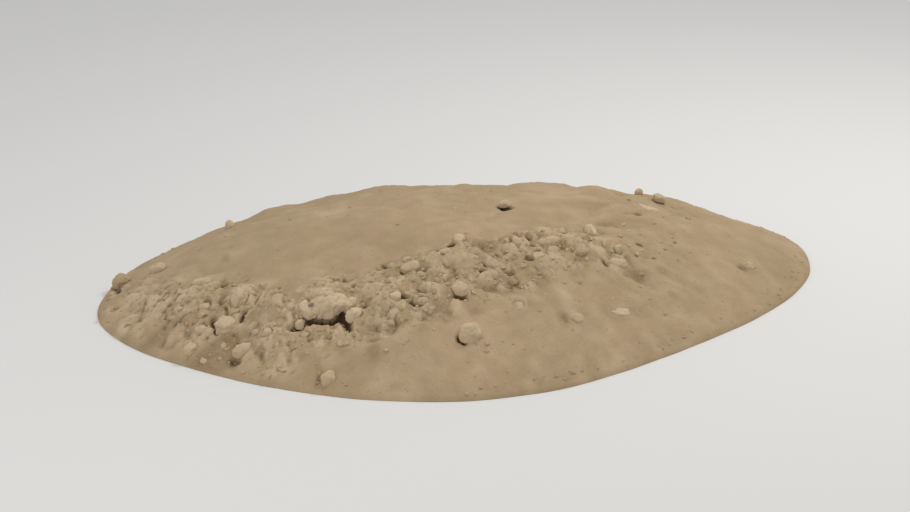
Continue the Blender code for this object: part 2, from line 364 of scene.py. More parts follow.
# %% [markdown]
# ## Lumps grown into the skin
# Broken clay has flat faces and corners. A lump here is the lower envelope of a tilted top
# and five to seven steep sides. Lumps are laid over each other and the highest wins, as in a
# heap. Each carries its own tone, because each piece dried differently. The heap is kept, so
# that the same lumps can be pressed into the loose crust too.

# %% One angular lump, and pressing it into a net
SUNK_SHARE = 0.22
heap = []


def new_lump(x, y, radius, rise, own_tone, slim=1.0):
    """An angular lump for the heap: its place and size, the tilt of its top and its sides."""
    tilt = draw.uniform(-0.5, 0.5, 2)
    count = draw.integers(5, 8)
    turn = draw.uniform(0, math.tau)
    sides = [(turn + math.tau * (side + draw.uniform(-0.3, 0.3)) / count,
              draw.uniform(0.6, 2.4), radius * draw.uniform(0.72, 1.08)) for side in range(count)]
    heap.append((x, y, radius, rise, own_tone, slim, tilt, sides))


def press(net, lump):
    """Raise a lump on a net, where it is higher than what is there."""
    x, y, radius, rise, own_tone, slim, tilt, sides = lump
    some = net.near(x, y, 1.5 * radius)
    right = net.x[some] - x
    ahead = (net.y[some] - y) / slim
    top = rise * (1 + tilt[0] * right / radius + tilt[1] * ahead / radius)
    for angle, steep, edge in sides:
        top = np.minimum(top, steep * (edge - right * math.cos(angle) - ahead * math.sin(angle)))
    top = top - SUNK_SHARE * rise
    higher = top > net.lumps[some]
    net.lumps[some[higher]] = top[higher]
    net.tone[some[higher]] = own_tone


print("corners in a 20 mm square near the middle:", len(skin.near(0, 0, 0.01)))

# %% Lumps of three sizes: how many, radii, rises to a radius, and how thick off the rubble
LUMP_KINDS = (
    ("blocks", 620, (0.012, 0.026), (0.34, 0.62), 0.010),
    ("lumps", 1500, (0.0065, 0.014), (0.38, 0.62), 0.02),
    ("nodules", 700, (0.0050, 0.008), (0.25, 0.50), 0.12),
)
STREWN_WITHIN = 0.985
SMOOTH_BELOW = 0.3


def place_at(out, angle):
    """The point at a share of the way out to the toe, in a direction."""
    toe = toe_reach(angle)
    return float(out * toe * math.cos(angle)), float(out * toe * math.sin(angle))


def random_place():
    """A point of the mound, drawn evenly over its plan."""
    angle = draw.uniform(0, math.tau)
    return place_at(STREWN_WITHIN * math.sqrt(draw.uniform()), angle)


for kind, wanted, radii, rises, elsewhere in LUMP_KINDS:
    placed = 0
    while placed < wanted:
        x, y = random_place()
        share = rubble_at(x, y)
        keep = draw.uniform()
        radius = draw.uniform(*radii)
        rise = radius * draw.uniform(*rises)
        own_tone = float(np.clip(draw.normal(0.64, 0.22), 0.0, 1.2))
        if keep > max(share, elsewhere):
            continue
        if share < SMOOTH_BELOW:
            rise *= 0.6
            own_tone = 0.5 + 0.35 * (own_tone - 0.5)
        new_lump(x, y, radius, rise, own_tone)
        placed += 1
    print(kind, placed)

# %% Pale lumps at their places in the photo: pixel, width and height in pixels
PALE_LUMPS = (
    (186, 295, 12, 17), (206, 287, 14, 14), (219, 298, 15, 9), (180, 315, 16, 12),
    (170, 332, 10, 8), (140, 293, 24, 12), (165, 302, 12, 8), (227, 236, 10, 9),
    (264, 299, 12, 22), (262, 288, 14, 10), (283, 300, 15, 17), (290, 309, 10, 8),
    (278, 331, 22, 7), (255, 332, 25, 20), (268, 349, 15, 10), (279, 369, 10, 8),
    (325, 358, 14, 18), (438, 285, 7, 16), (473, 293, 8, 6), (392, 268, 8, 8),
    (391, 313, 9, 9), (384, 331, 14, 13), (418, 328, 9, 8), (407, 343, 11, 8),
    (432, 343, 8, 5), (480, 377, 13, 8), (410, 376, 9, 6), (443, 371, 11, 4),
    (466, 233, 9, 3), (502, 269, 12, 7), (490, 282, 11, 5), (516, 306, 13, 9),
    (537, 300, 10, 7), (500, 331, 12, 6), (503, 362, 8, 4), (534, 366, 11, 8),
    (548, 374, 6, 5), (529, 385, 11, 7), (547, 381, 7, 6), (580, 359, 10, 6),
    (569, 335, 9, 8), (592, 337, 14, 4), (519, 348, 9, 7), (545, 351, 9, 4),
    (567, 252, 7, 6), (597, 241, 8, 8), (612, 252, 6, 6), (642, 254, 12, 3),
    (642, 240, 8, 4), (648, 275, 12, 4), (560, 271, 8, 7), (568, 281, 6, 5),
    (586, 278, 7, 6), (595, 293, 9, 6), (638, 300, 8, 7), (650, 339, 16, 9),
    (675, 302, 12, 4), (711, 253, 7, 6), (747, 249, 6, 5), (752, 264, 12, 10),
    (700, 262, 12, 3), (440, 212, 8, 6), (298, 211, 9, 7), (314, 213, 6, 9),
    (348, 206, 10, 4), (361, 196, 6, 4), (400, 190, 9, 4), (460, 184, 13, 5),
    (383, 189, 8, 4), (198, 301, 9, 9), (246, 290, 10, 8), (152, 312, 16, 6),
    (132, 318, 18, 7), (150, 324, 30, 10), (190, 307, 8, 8), (212, 316, 8, 10),
    (189, 348, 19, 19), (205, 309, 12, 9), (243, 351, 17, 15), (310, 338, 12, 8),
    (296, 346, 10, 7), (360, 303, 12, 8), (374, 296, 10, 8), (383, 284, 12, 8),
    (405, 283, 10, 7), (424, 283, 12, 8), (447, 275, 12, 5), (470, 270, 10, 5),
)

LUMP_DEPTH = 1.5

for across, down, wide, tall in PALE_LUMPS:
    place = spot(across, down)
    deep = LUMP_DEPTH * tall
    radius = 0.62 * wide * METRES_PER_PIXEL
    slim = min(max(deep / wide, 0.6), 1.6)
    rise = 0.0020 + 0.28 * min(wide, deep) / 2 * METRES_PER_PIXEL
    own_tone = draw.uniform(0.74, 0.94) - 0.16 * (rubble_at(place.x, place.y) < SMOOTH_BELOW)
    new_lump(place.x, place.y, radius, rise, own_tone, slim)
for lump in heap:
    press(skin, lump)
print("lumps:", len(heap), "highest:", round(skin.lumps.max() * 1000, 1), "mm")

# %% Browner patches at their places in the photo: pixel, width, height and strength
BROWN_PATCHES = (
    (485, 250, 30, 14, 0.8), (502, 245, 14, 8, 0.5), (637, 278, 30, 8, 0.7),
    (662, 271, 18, 9, 0.5), (537, 277, 28, 30, 0.35), (442, 312, 18, 10, 0.5),
    (563, 317, 13, 9, 0.5), (744, 268, 10, 6, 0.5), (672, 295, 12, 6, 0.4),
    (118, 289, 12, 14, 1.0), (373, 351, 16, 11, 0.6), (449, 287, 14, 14, 0.5),
    (284, 318, 7, 5, 0.6), (235, 362, 14, 6, 1.0), (255, 322, 26, 14, 0.35),
    (215, 355, 70, 20, 0.70), (160, 338, 60, 10, 0.55), (412, 272, 40, 10, 0.3),
    (392, 264, 18, 8, 0.4), (476, 287, 14, 7, 0.5), (343, 346, 14, 12, 0.3),
    (592, 205, 110, 18, 0.45), (640, 225, 60, 12, 0.25), (500, 292, 60, 14, 0.25),
    (226, 258, 8, 12, 0.35), (320, 374, 8, 22, 0.4), (275, 317, 14, 8, 0.4),
)

PATCH_DEPTH = 1.9

stain = np.zeros(len(reach))
for across, down, wide, tall, strength in BROWN_PATCHES:
    place = spot(across, down)
    ahead = (skin_y - place.y) / (PATCH_DEPTH * tall)
    out = 2 * np.hypot((skin_x - place.x) / wide, ahead) / METRES_PER_PIXEL
    stain = np.maximum(stain, strength * fade(out - 0.5 * ragged, 0.35, 1.35))
print("stained share:", round(stain.mean(), 3))

# %% [markdown]
# ## Crevices and holes
# The darkest marks of the photo are gaps under and beside clods. A crevice is a line of
# pixels laid on the skin and cut down steeply on both sides, and a hole is a short one. The
# skin is one height over each point and can't fold, so each is a narrow trench beside its
# clod. Noise bends its sides and varies its depth, as no real crack is even.

# %% Crevices at their places in the photo: pixels, width and depth
CREVICES = (
    (((305, 318), (311, 321), (318, 324), (327, 324), (336, 322), (341, 317)), 0.012, 0.009),
    (((342, 316), (345, 323), (349, 330)), 0.015, 0.010),
    (((291, 332), (297, 328), (302, 323)), 0.012, 0.008),
    (((401, 294), (408, 299), (414, 305), (420, 307)), 0.012, 0.009),
    (((369, 343), (379, 342)), 0.012, 0.0025),
    (((213, 324), (215, 330), (219, 334)), 0.010, 0.007),
    (((246, 313), (243, 317), (241, 321)), 0.012, 0.008),
    (((230, 362), (235, 363), (240, 362)), 0.013, 0.005),
    (((319, 376), (318, 384)), 0.009, 0.004),
    (((450, 248), (454, 246)), 0.014, 0.008),
    (((500, 206), (505, 209), (510, 207)), 0.016, 0.009),
    (((583, 235), (588, 239)), 0.011, 0.005),
    (((603, 263), (608, 268)), 0.010, 0.004),
    (((456, 297), (465, 298)), 0.014, 0.009),
    (((459, 340), (464, 344)), 0.012, 0.008),
    (((638, 246), (640, 246)), 0.012, 0.007),
    (((527, 261), (532, 261)), 0.010, 0.005),
    (((481, 272), (484, 272)), 0.010, 0.005),
    (((508, 277), (512, 278)), 0.010, 0.005),
    (((616, 253), (618, 254)), 0.010, 0.005),
    (((526, 237), (529, 240)), 0.012, 0.004),
    (((382, 265), (386, 267)), 0.011, 0.006),
    (((399, 271), (406, 272)), 0.010, 0.006),
    (((419, 273), (423, 272)), 0.011, 0.006),
    (((309, 303), (311, 308)), 0.009, 0.006),
    (((622, 213), (632, 213), (640, 215)), 0.009, 0.004),
    (((738, 266), (743, 268)), 0.014, 0.0025),
    (((115, 287), (120, 293)), 0.018, 0.004),
    (((562, 316), (566, 320)), 0.013, 0.0020),
    (((484, 291), (498, 293)), 0.012, 0.003),
    (((263, 352), (262, 357)), 0.010, 0.006),
)

cut = np.zeros(len(reach))
wander = 0.0016 * soft_noise(flat_places, 0.008, 11)
uneven = 0.9 + 0.6 * soft_noise(flat_places, 0.014, 14)
for pixels, width, depth in CREVICES:
    line = [spot(*pixel) for pixel in pixels]
    away = distance_to_line(skin_x, skin_y, line) + wander
    cut = np.maximum(cut, depth * uneven * fade(2 * away / width, 0.25, 1.25))
print("crevices:", len(CREVICES), "deepest:", round(cut.max() * 1000, 1), "mm")

# %% [markdown]
# ## Soil around the loose clods
# Rain washes soil against a clod, so that it seems to grow out of the skin. The bank is an
# oval rise, drawn from the box of the clod. The lumps fade out under the clod itself so that
# none of them pokes through it.

# %% Banks around the clods
BANK_RISE = 0.0036
patchy = 0.65 + 0.8 * soft_noise(flat_places, 0.013, 12)
bank = np.zeros(len(reach))
under_clod = np.zeros(len(reach))
clod_names = sorted(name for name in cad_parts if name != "mound")
clod_spots = []
for name in clod_names:
    low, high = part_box(name)
    x = (low.x + high.x) / 2
    y = (low.y + high.y) / 2
    half_x = (high.x - low.x) / 2
    half_y = (high.y - low.y) / 2
    clod_spots.append((x, y, (half_x + half_y) / 2))
    some = skin.near(x, y, 2.2 * max(half_x, half_y))
    out = np.hypot((skin_x[some] - x) / half_x, (skin_y[some] - y) / half_y)
    bank[some] = np.maximum(bank[some], BANK_RISE * fade(out, 1, 1.65) * patchy[some])
    under_clod[some] = np.maximum(under_clod[some], fade(out, 0.85, 1.15))
print("clods:", len(clod_names))

# %% The finished heights of the skin, a little lower where the crust will cover it
CRUST_FROM = 0.12
CRUST_WHOLE = 0.52
CRUST_BED = 0.0030
TOE_CLEAR = 0.968
TOE_FADE = 0.07
TOE_WALL = 0.0012
LOWEST_INSIDE = 0.0030


def beside_cut(cut):
    """0 in the crevices, 1 where nothing is cut away."""
    return fade(cut, 0, 0.003)


def crust_cover(share, cut, out):
    """1 where the crust lies thick, 0 at its border, near the toe and in the crevices."""
    thick = smooth_step((share - CRUST_FROM) / (CRUST_WHOLE - CRUST_FROM))
    return thick * fade(out, TOE_CLEAR - TOE_FADE, TOE_CLEAR) * beside_cut(cut)


# Dust lies in patches and evens the lumps out there. Off the rubble they are melted soft.
dusty = smooth_step(0.45 + 1.5 * soft_noise(flat_places, 0.075, 13))
broken = smooth_step(rubble / 0.55)
lumps = skin.melt(skin.lumps * (0.3 + 0.7 * beside_cut(cut)) * (1 - 0.5 * dusty), 2)
softened = skin.melt(lumps, 10)
lumps = (softened + (lumps - softened) * broken) * (1 - under_clod)
cut = skin.melt(cut, 2)
bank = bank * beside_cut(cut)
bed = CRUST_BED * crust_cover(rubble, cut, out_share)
edge = smooth_step(0.20 + (1 - out_share) / 0.012)
plain_height = melted + inside * (relief + bank - cut)
skin_height = (plain_height + inside * (lumps - bed)) * edge
skin_height = np.maximum(skin_height, TOE_WALL + (LOWEST_INSIDE - TOE_WALL) * inside)
uncut_height = skin_height + inside * edge * (cut + bed)
print("highest point:", round(skin_height.max(), 4))

# %% Hollows and crests of the skin, with painted shade in the hollows and a painted highlight on the crests
fine_dip = skin.melt(skin_height, 8) - skin_height
broad_dip = skin.melt(skin_height, 60) - skin_height
# Painted shade: the hollows, and most of all the crevices, are darkened towards a near-black brown.
hollow = smooth_step(fine_dip / 0.0034) * 0.30 + smooth_step(broad_dip / 0.009) * 0.25
hollow = hollow * inside + smooth_step(cut / 0.0062) * 0.92
hollow = np.clip(hollow, 0, 1)
# Crests of the rubble are painted paler, partly as worn clay and partly as a painted highlight.
crest = smooth_step(-fine_dip / 0.003)
tone = skin.melt(skin.tone, 2)
softened = skin.melt(tone, 10)
tone = np.clip(softened + (tone - softened) * broken + 0.20 * crest * broken, 0, 1)
# Painted shade, as brown, in the dips of the rubble, partly browner soil as well.
stain = np.maximum(stain, 0.40 * smooth_step(fine_dip / 0.0025) * broken)
print("hollow share:", round(hollow.mean(), 3))

# %% [markdown]
# ## Closing the body
# A short wall goes down from the toe to the ground, and a flat base closes the body, so that
# it can be measured, printed or weighed like the real thing.

# %% The mound's skin as a mesh


def add_piece(name, corners, triangles, marks, sharp_from=None):
    """A mesh object whose corners hold a value of each mark, with edges from an angle on sharp."""
    mesh = bpy.data.meshes.new(name)
    mesh.from_pydata(corners.tolist(), [], [list(face) for face in triangles])
    for mark, values in marks.items():
        layer = mesh.attributes.new(mark, "FLOAT", "POINT")
        layer.data.foreach_set("value", np.asarray(values, dtype=np.float32))
    mesh.validate()
    mesh.shade_smooth()
    if sharp_from is not None:
        mesh.set_sharp_from_angle(angle=math.radians(sharp_from))
    thing = bpy.data.objects.new(name, mesh)
    bpy.context.collection.objects.link(thing)
    return thing


toe_first = ring_start(RINGS)
toe_count = 6 * RINGS
toe = np.arange(toe_first, toe_first + toe_count)
ground = np.arange(len(reach), len(reach) + toe_count)
after = np.roll(np.arange(toe_count), -1)
wall = [(ground[i], ground[after[i]], toe[after[i]], toe[i]) for i in range(toe_count)]
skin_corners = np.column_stack([skin_x, skin_y, skin_height])
ground_corners = skin_corners[toe] * np.array([1, 1, 0])
all_corners = np.concatenate([skin_corners, ground_corners])
all_faces = skin_triangles.tolist() + wall + [ground[::-1]]
mound_skin = add_piece("mound_skin", all_corners, all_faces, {
    "tone": np.concatenate([tone, tone[toe]]),
    "hollow": np.concatenate([hollow, hollow[toe]]),
    "stain": np.concatenate([stain, stain[toe]]),
})
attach(mound_skin, "root")
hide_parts("mound")
skin_tree = BVHTree.FromPolygons(skin_corners.tolist(), skin_triangles.tolist())
uncut_corners = np.column_stack([skin_x, skin_y, uncut_height])
uncut_tree = BVHTree.FromPolygons(uncut_corners.tolist(), skin_triangles.tolist())
print("mound_skin:", len(all_faces), "faces")

# %% Points on the skin


def skin_at(x, y, tree):
    """The place and the direction of a surface at a point, seen from above."""
    place, facing, _ = drop(x, y, tree)
    if place is None:
        return Vector((x, y, 0)), UP
    return place, facing


def above_skin(places):
    """How far each place is above the skin, as it was before the crevices."""
    return np.array([z - skin_at(x, y, uncut_tree)[0].z for x, y, z in places.tolist()])


def crumbly(places, span, seed):
    """Uneven cells about as wide as the span: 1 in the middle of a cell, 0 where cells meet."""
    moved = places / span + 3.7 * seed
    bent = moved + np.array([tuple(noise.noise_vector(place)) for place in (0.9 * moved).tolist()]) * 0.7
    nearest = np.array([noise.voronoi(place)[0][0] for place in bent.tolist()])
    return np.maximum(1 - (nearest / 0.85) ** 2, 0)


# %% [markdown]
# ## The loose crust
# Where the skin is gone, a layer of crumbled soil shows. It gets a net of its own, finer than
# the skin's, so that it can hold crumbs of a few millimetres. The same heap of lumps is
# pressed into it, with sharper edges, and it dives under the skin at its border.

# %% A fine net over the rubble
CRUST_STEP = 0.00225
ROW_STEP = CRUST_STEP * math.sqrt(3) / 2

covered = rubble > CRUST_FROM
columns = np.arange(skin_x[covered].min(), skin_x[covered].max(), CRUST_STEP)
rows = np.arange(skin_y[covered].min(), skin_y[covered].max(), ROW_STEP)
grid_x = (columns[None, :] + 0.5 * CRUST_STEP * (np.arange(len(rows)) % 2)[:, None]).ravel()
grid_y = np.repeat(rows, len(columns))
grid_flat = np.column_stack([grid_x, grid_y, np.zeros_like(grid_x)])
grid_share = rubble_share(grid_x, grid_y, straying(grid_flat))
grid_out = np.hypot(grid_x, grid_y) / toe_reach(np.arctan2(grid_y, grid_x))
kept = (grid_share > CRUST_FROM) & (grid_out < TOE_CLEAR)
print("points over the rubble:", kept.sum())

# %% Its triangles, each between two rows
cell = np.arange(len(grid_x)).reshape(len(rows), len(columns))
left, right = cell[:-1, :-1], cell[:-1, 1:]
left_above, right_above = cell[1:, :-1], cell[1:, 1:]
even = (np.arange(len(rows) - 1) % 2 == 0)[:, None]
first_half = np.stack([left, right, np.where(even, left_above, right_above)], axis=-1)
second_half = np.stack([np.where(even, right, left), right_above, left_above], axis=-1)
crust_triangles = np.concatenate([first_half.reshape(-1, 3), second_half.reshape(-1, 3)])
crust_triangles = crust_triangles[kept[crust_triangles].all(axis=1)]
used, crust_triangles = np.unique(crust_triangles, return_inverse=True)
crust_triangles = crust_triangles.reshape(-1, 3)
crust = Net(grid_x[used], grid_y[used], crust_triangles)
crust_flat = grid_flat[used]
print("corners:", len(used), "triangles:", len(crust_triangles))

# %% Values of the skin, read at the corners of the crust
under = np.array([drop(x, y, skin_tree)[2] for x, y, _ in crust_flat.tolist()])
corner = skin_triangles[under]
to_x = skin_x[corner[:, 1:]] - skin_x[corner[:, :1]]
to_y = skin_y[corner[:, 1:]] - skin_y[corner[:, :1]]
own_x = crust.x - skin_x[corner[:, 0]]
own_y = crust.y - skin_y[corner[:, 0]]
whole = to_x[:, 0] * to_y[:, 1] - to_x[:, 1] * to_y[:, 0]
second_share = (own_x * to_y[:, 1] - to_x[:, 1] * own_y) / whole
third_share = (to_x[:, 0] * own_y - own_x * to_y[:, 0]) / whole
corner_shares = np.column_stack([1 - second_share - third_share, second_share, third_share])


def read_skin(values):
    """The values of the skin's corners, blended at each corner of the crust."""
    return (values[corner] * corner_shares).sum(axis=1)


print("height of the skin under the crust, at most:", round(read_skin(skin_height).max(), 4))

# %% Heights of the crust
CRUST_DIVE = 0.0025
CRUST_LIFT = 0.0008
LOWEST_CRUST = 0.0008

crust.tone = read_skin(skin.melt(0.5 + 0.6 * (skin.tone - 0.5), 4))
for lump in heap:
    press(crust, lump)
crust_cut = read_skin(cut)
cover = crust_cover(grid_share[used], crust_cut, grid_out[used])
dust_left = 1 - 0.5 * read_skin(dusty)
big_crumbs = crumbly(crust_flat, 0.0115, 31)
small_crumbs = crumbly(crust_flat, 0.0056, 32)
crumb_patches = np.clip(0.8 + 1.1 * soft_noise(crust_flat, 0.03, 33), 0.15, 1.3)
fine = 0.0026 * (big_crumbs - 0.5) * crumb_patches + 0.0014 * (small_crumbs - 0.5)
fine += 0.0009 * soft_noise(crust_flat, 0.011, 34)
crust_lumps = crust.melt(crust.lumps * (0.3 + 0.7 * beside_cut(crust_cut)), 1)
crust_lumps = crust_lumps * dust_left * (1 - read_skin(under_clod))
crust_height = read_skin(plain_height) + crust_lumps + fine * dust_left + CRUST_LIFT
crust_height = cover * crust_height + (1 - cover) * (read_skin(skin_height) - CRUST_DIVE)
print("the fine crumbs rise", round(np.ptp(fine) * 1000, 1), "mm")

# %% Marks of the crust, with painted shade in its dips and a painted highlight on its crests, and its mesh
crust_dip = crust.melt(crust_height, 14) - crust_height
# Painted shade darkens the dips of the crust and browns them, partly as browner soil; its crests are painted
# paler, partly as worn clay and partly as a painted highlight.
crust_hollow = 0.6 * read_skin(hollow) + 0.44 * smooth_step(crust_dip / 0.0028)
crust_tone = crust.melt(crust.tone, 1) + 0.22 * smooth_step(-crust_dip / 0.0026)
crust_tone += 0.22 * soft_noise(crust_flat, 0.0065, 35) + 0.10 * (big_crumbs - 0.5)
crust_stain = np.maximum(read_skin(stain), 0.35 * smooth_step(crust_dip / 0.002))
crust_corners = np.column_stack([crust.x, crust.y, np.maximum(crust_height, LOWEST_CRUST)])
rubble_crust = add_piece("rubble_crust", crust_corners, crust_triangles.tolist(), {
    "tone": np.clip(crust_tone, 0, 1), "hollow": np.clip(crust_hollow, 0, 1), "stain": crust_stain})
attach(rubble_crust, "root")
top_tree = BVHTree.FromPolygons(
    skin_corners.tolist() + crust_corners.tolist(),
    skin_triangles.tolist() + (crust_triangles + len(skin_corners)).tolist())
print("rubble_crust:", len(crust_triangles), "triangles")

# %% [markdown]
# ## Weathered clods
# A clod is a lump of crumbs baked together, broken on all sides. Its solid is turned into a
# close net with a voxel remesh. Flat chips are cut off it by pushing all that lies beyond a
# plane back to the plane. Then it is pushed in and out in rounded cells, for the crumbs it is
# made of, and finely for its grain. Last it is fitted back to the box of its solid, so that it
# stays as large as that, and its underside is let down on the skin.

# %% A clod's solid as a close net
CLOD_VOXEL = 0.0016


def close_net(name):
    """The places of a close net over a clod's solid, where they face, and its triangles."""
    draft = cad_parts[name].copy()
    draft.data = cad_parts[name].data.copy()
    bpy.context.collection.objects.link(draft)
    remesh = draft.modifiers.new("Remesh", "REMESH")
    remesh.mode = "VOXEL"
    remesh.voxel_size = CLOD_VOXEL
    close = draft.evaluated_get(bpy.context.evaluated_depsgraph_get()).to_mesh()
    close.calc_loop_triangles()
    places = corner_places(close)
    facing = np.array([tuple(vertex.normal) for vertex in close.vertices])
    triangles = np.array([tuple(face.vertices) for face in close.loop_triangles])
    bpy.data.objects.remove(draft, do_unlink=True)
    return places, facing, triangles


print("triangles of the close net of a clod:", len(close_net("clod_round")[2]))

# %% Flat chips and steeper sides
CHIPS = 12
SECTORS = 36


def chipped(places, middle, seed):
    """Places pushed back to random planes, so that flat breaks are left."""
    breaks = np.random.default_rng(seed)
    for _ in range(CHIPS):
        direction = breaks.normal(size=3) * (1, 1, 0.7) + (0, 0, 0.35)
        direction /= np.linalg.norm(direction)
        along = (places - middle) @ direction
        beyond = np.maximum(along - breaks.uniform(0.84, 0.98) * along.max(), 0)
        places = places - direction * beyond[:, None]
    return places


def upright(places, middle):
    """Places whose lower half is pushed out towards the widest outline, for steeper sides."""
    angle = np.arctan2(places[:, 1] - middle[1], places[:, 0] - middle[0])
    out = np.hypot(places[:, 0] - middle[0], places[:, 1] - middle[1])
    sector = ((angle + math.pi) / math.tau * SECTORS).astype(int) % SECTORS
    widest = np.zeros(SECTORS)
    np.maximum.at(widest, sector, out)
    widest = (np.roll(widest, 1) + widest + np.roll(widest, -1)) / 3
    middles = (np.arange(SECTORS) + 0.5) / SECTORS * math.tau - math.pi
    share = np.clip(out / np.interp(angle, middles, widest, period=math.tau), 0, 1)
    lower = smooth_step(0.5 + (middle[2] - places[:, 2]) / (0.5 * np.ptp(places[:, 2])))
    pushed = 1 + lower * ((1 - (1 - share) ** 1.7) / np.maximum(share, 0.05) - 1)
    pushed = np.where(share > 0.05, pushed, 1)
    spread = places.copy()
    spread[:, :2] = middle[:2] + (places[:, :2] - middle[:2]) * pushed[:, None]
    return spread


print("chips:", CHIPS, "directions in which an outline is read:", SECTORS)

# %% One weathered clod
MOST_DROP = 0.005
SUNK_BELOW_SKIN = 0.0015
LOWEST_CLOD = 0.0006


def weathered(name, number, grown_in):
    """A close net of a clod's solid, weathered, with its underside in the skin."""
    places, facing, triangles = close_net(name)
    size = np.ptp(places, axis=0).mean()
    lowest = places.min(axis=0)
    highest = places.max(axis=0)
    middle = (highest + lowest) / 2
    places = places + facing * (0.060 * size * soft_noise(places, 0.40 * size, number))[:, None]
    places = upright(chipped(places, middle, 200 + number), middle)
    crumb_span = 0.0045 + 0.11 * size
    crumbs_at = crumbly(places, crumb_span, number)
    push = 0.050 * size * (crumbs_at - 0.6)
    push += 0.024 * size * (crumbly(places, 0.45 * crumb_span, number + 1) - 0.6)
    push += 0.0006 * soft_noise(places, 0.0035, number + 2)
    places = places + facing * push[:, None]
    places = lowest + (places - places.min(axis=0)) * (highest - lowest) / np.ptp(places, axis=0)
    places[:, 2] -= grown_in
    below = smooth_step(-facing[:, 2] / 0.5)
    places[:, 2] -= below * np.clip(above_skin(places) + SUNK_BELOW_SKIN, 0, MOST_DROP)
    places[:, 2] = np.maximum(places[:, 2], LOWEST_CLOD)
    return places, triangles, facing, size, crumbs_at


places, triangles, _, size, _ = weathered("clod_round", 1, 0)
print("a clod", round(size * 1000), "mm across has", len(triangles), "triangles")

# %% How pale some of the clods are, and how far some are grown in
PALENESS = {"main_clod": 1.35, "clod_bright": 1.50, "clod_prop": 1.20, "clod_leaning": 1.35,
            "clod_front": 1.15, "clod_left_toe": 0.62, "clod_round": 1.10,
            "clod_front_pale_1": 1.05, "clod_front_pale_2": 1.30, "clod_upper_1": 1.35,
            "clod_right_1": 1.15, "clod_right_slab": 1.20, "clod_far_right": 0.85,
            "clod_middle_1": 1.25, "clod_middle_2": 1.15, "clod_middle_3": 1.30}
USUAL_PALENESS = 1.08
GROWN_IN = {"clod_crest_slab": 0.006, "clod_front_pale_1": 0.003, "clod_front_pale_2": 0.003,
            "clod_front_pale_3": 0.003, "clod_far_right": 0.006, "clod_back_7": 0.006}
# The way the shady side of a clod faces, away from the key lamp; that side is browned as painted shade.
SHADY_SIDE = np.array([-0.62, -0.62, -0.48])
MAIN_CLOD_HOLE = (311, 305)
HOLE_RADIUS = 0.0055
HOLE_DEPTH = 0.003


def off_the_ray(places, across, down):
    """How far each place is from the ray through a pixel of the photo."""
    ray = np.array(pixel_ray(across, down))
    return np.linalg.norm(np.cross(places - np.array(camera.location), ray), axis=1)


print("clods with a tone of their own:", len(PALENESS))

# %% All the loose clods
clod_pieces = []
for number, name in enumerate(clod_names):
    places, triangles, facing, size, crumbs_at = weathered(name, number, GROWN_IN.get(name, 0))
    hole = np.zeros(len(places))
    if name == "main_clod":
        hole = fade(off_the_ray(places, *MAIN_CLOD_HOLE) / HOLE_RADIUS, 0.4, 1.4)
        hole *= smooth_step(facing @ np.array(towards_camera) / 0.3)
        places = places - facing * (HOLE_DEPTH * hole)[:, None]
    lift = above_skin(places)
    shaded = 1 - smooth_step((lift + 0.001) / (0.12 * size))
    pale = PALENESS.get(name, USUAL_PALENESS)
    shady = smooth_step(0.2 + facing @ SHADY_SIDE)
    # Painted shade: each clod is darkened at its foot, in the seams between its crumbs and in the dent of
    # the main clod, and browned on its shady side.
    piece = add_piece(name + "_weathered", places, triangles, {
        "tone": pale + 0.16 * (crumbs_at - 0.5),
        "hollow": 0.06 * shaded + 0.04 * smooth_step((0.35 - crumbs_at) / 0.35) + 0.55 * hole,
        "stain": 0.20 * shady,
    })
    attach(piece, "root")
    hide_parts(name)
    clod_pieces.append(piece)
print("clods:", len(clod_pieces), "triangles:", sum(len(piece.data.polygons) for piece in clod_pieces))

# %% [markdown]
# ## Broken pieces, crumbs and grit
# The rest of the rubble is thousands of pieces too small for solids of their own. A few base
# forms are cut from balls: a corner of the ball is pulled in to the nearest of some random
# flat planes, which leaves flat faces and edges, and noise roughens them. Copies are turned,
# stretched, sunk in the skin and joined in one mesh for each size.

# %% Base forms, roughened by noise of three spans and depths
BALL_ROUGHNESS = ((0.45, 0.07), (0.2, 0.05), (0.1, 0.025))
LONGEST_REACH = 1.15
FORMS = 9


def broken_ball(subdivisions, planes, seed):
    """The corners and triangles of an angular lump about 1 across."""
    source = bpy.data.meshes.new("ball")
    ball = bmesh.new()
    bmesh.ops.create_icosphere(ball, subdivisions=subdivisions, radius=1.0)
    ball.to_mesh(source)
    ball.free()
    corners = corner_places(source)
    triangles = np.array([tuple(face.vertices) for face in source.polygons])
    bpy.data.meshes.remove(source)
    shape = np.random.default_rng(seed)
    facing = shape.normal(size=(planes, 3))
    facing /= np.linalg.norm(facing, axis=1)[:, None]
    distance = shape.uniform(0.46, 0.84, planes)
    meets = corners @ facing.T
    reach = np.where(meets > 0.05, distance / np.maximum(meets, 0.05), np.inf).min(axis=1)
    reach = np.minimum(reach, LONGEST_REACH)
    for span, depth in BALL_ROUGHNESS:
        reach = reach * (1 + depth * soft_noise(corners, span, seed))
    corners = corners * reach[:, None]
    return corners / np.ptp(corners, axis=0).max(), triangles


block_forms = [broken_ball(4, 9, 40 + number) for number in range(FORMS)]
crumb_forms = [broken_ball(2, 9, 60 + number) for number in range(FORMS)]
grit_forms = [broken_ball(1, 7, 80 + number) for number in range(FORMS)]
print("triangles of a block, a crumb and a grain:",
      [len(forms[0][1]) for forms in (block_forms, crumb_forms, grit_forms)])

# %% Laying many pieces on the skin, turned a little more upwards than it faces
UPWARDS = 0.6
LOWEST_CRUMB = 0.0004


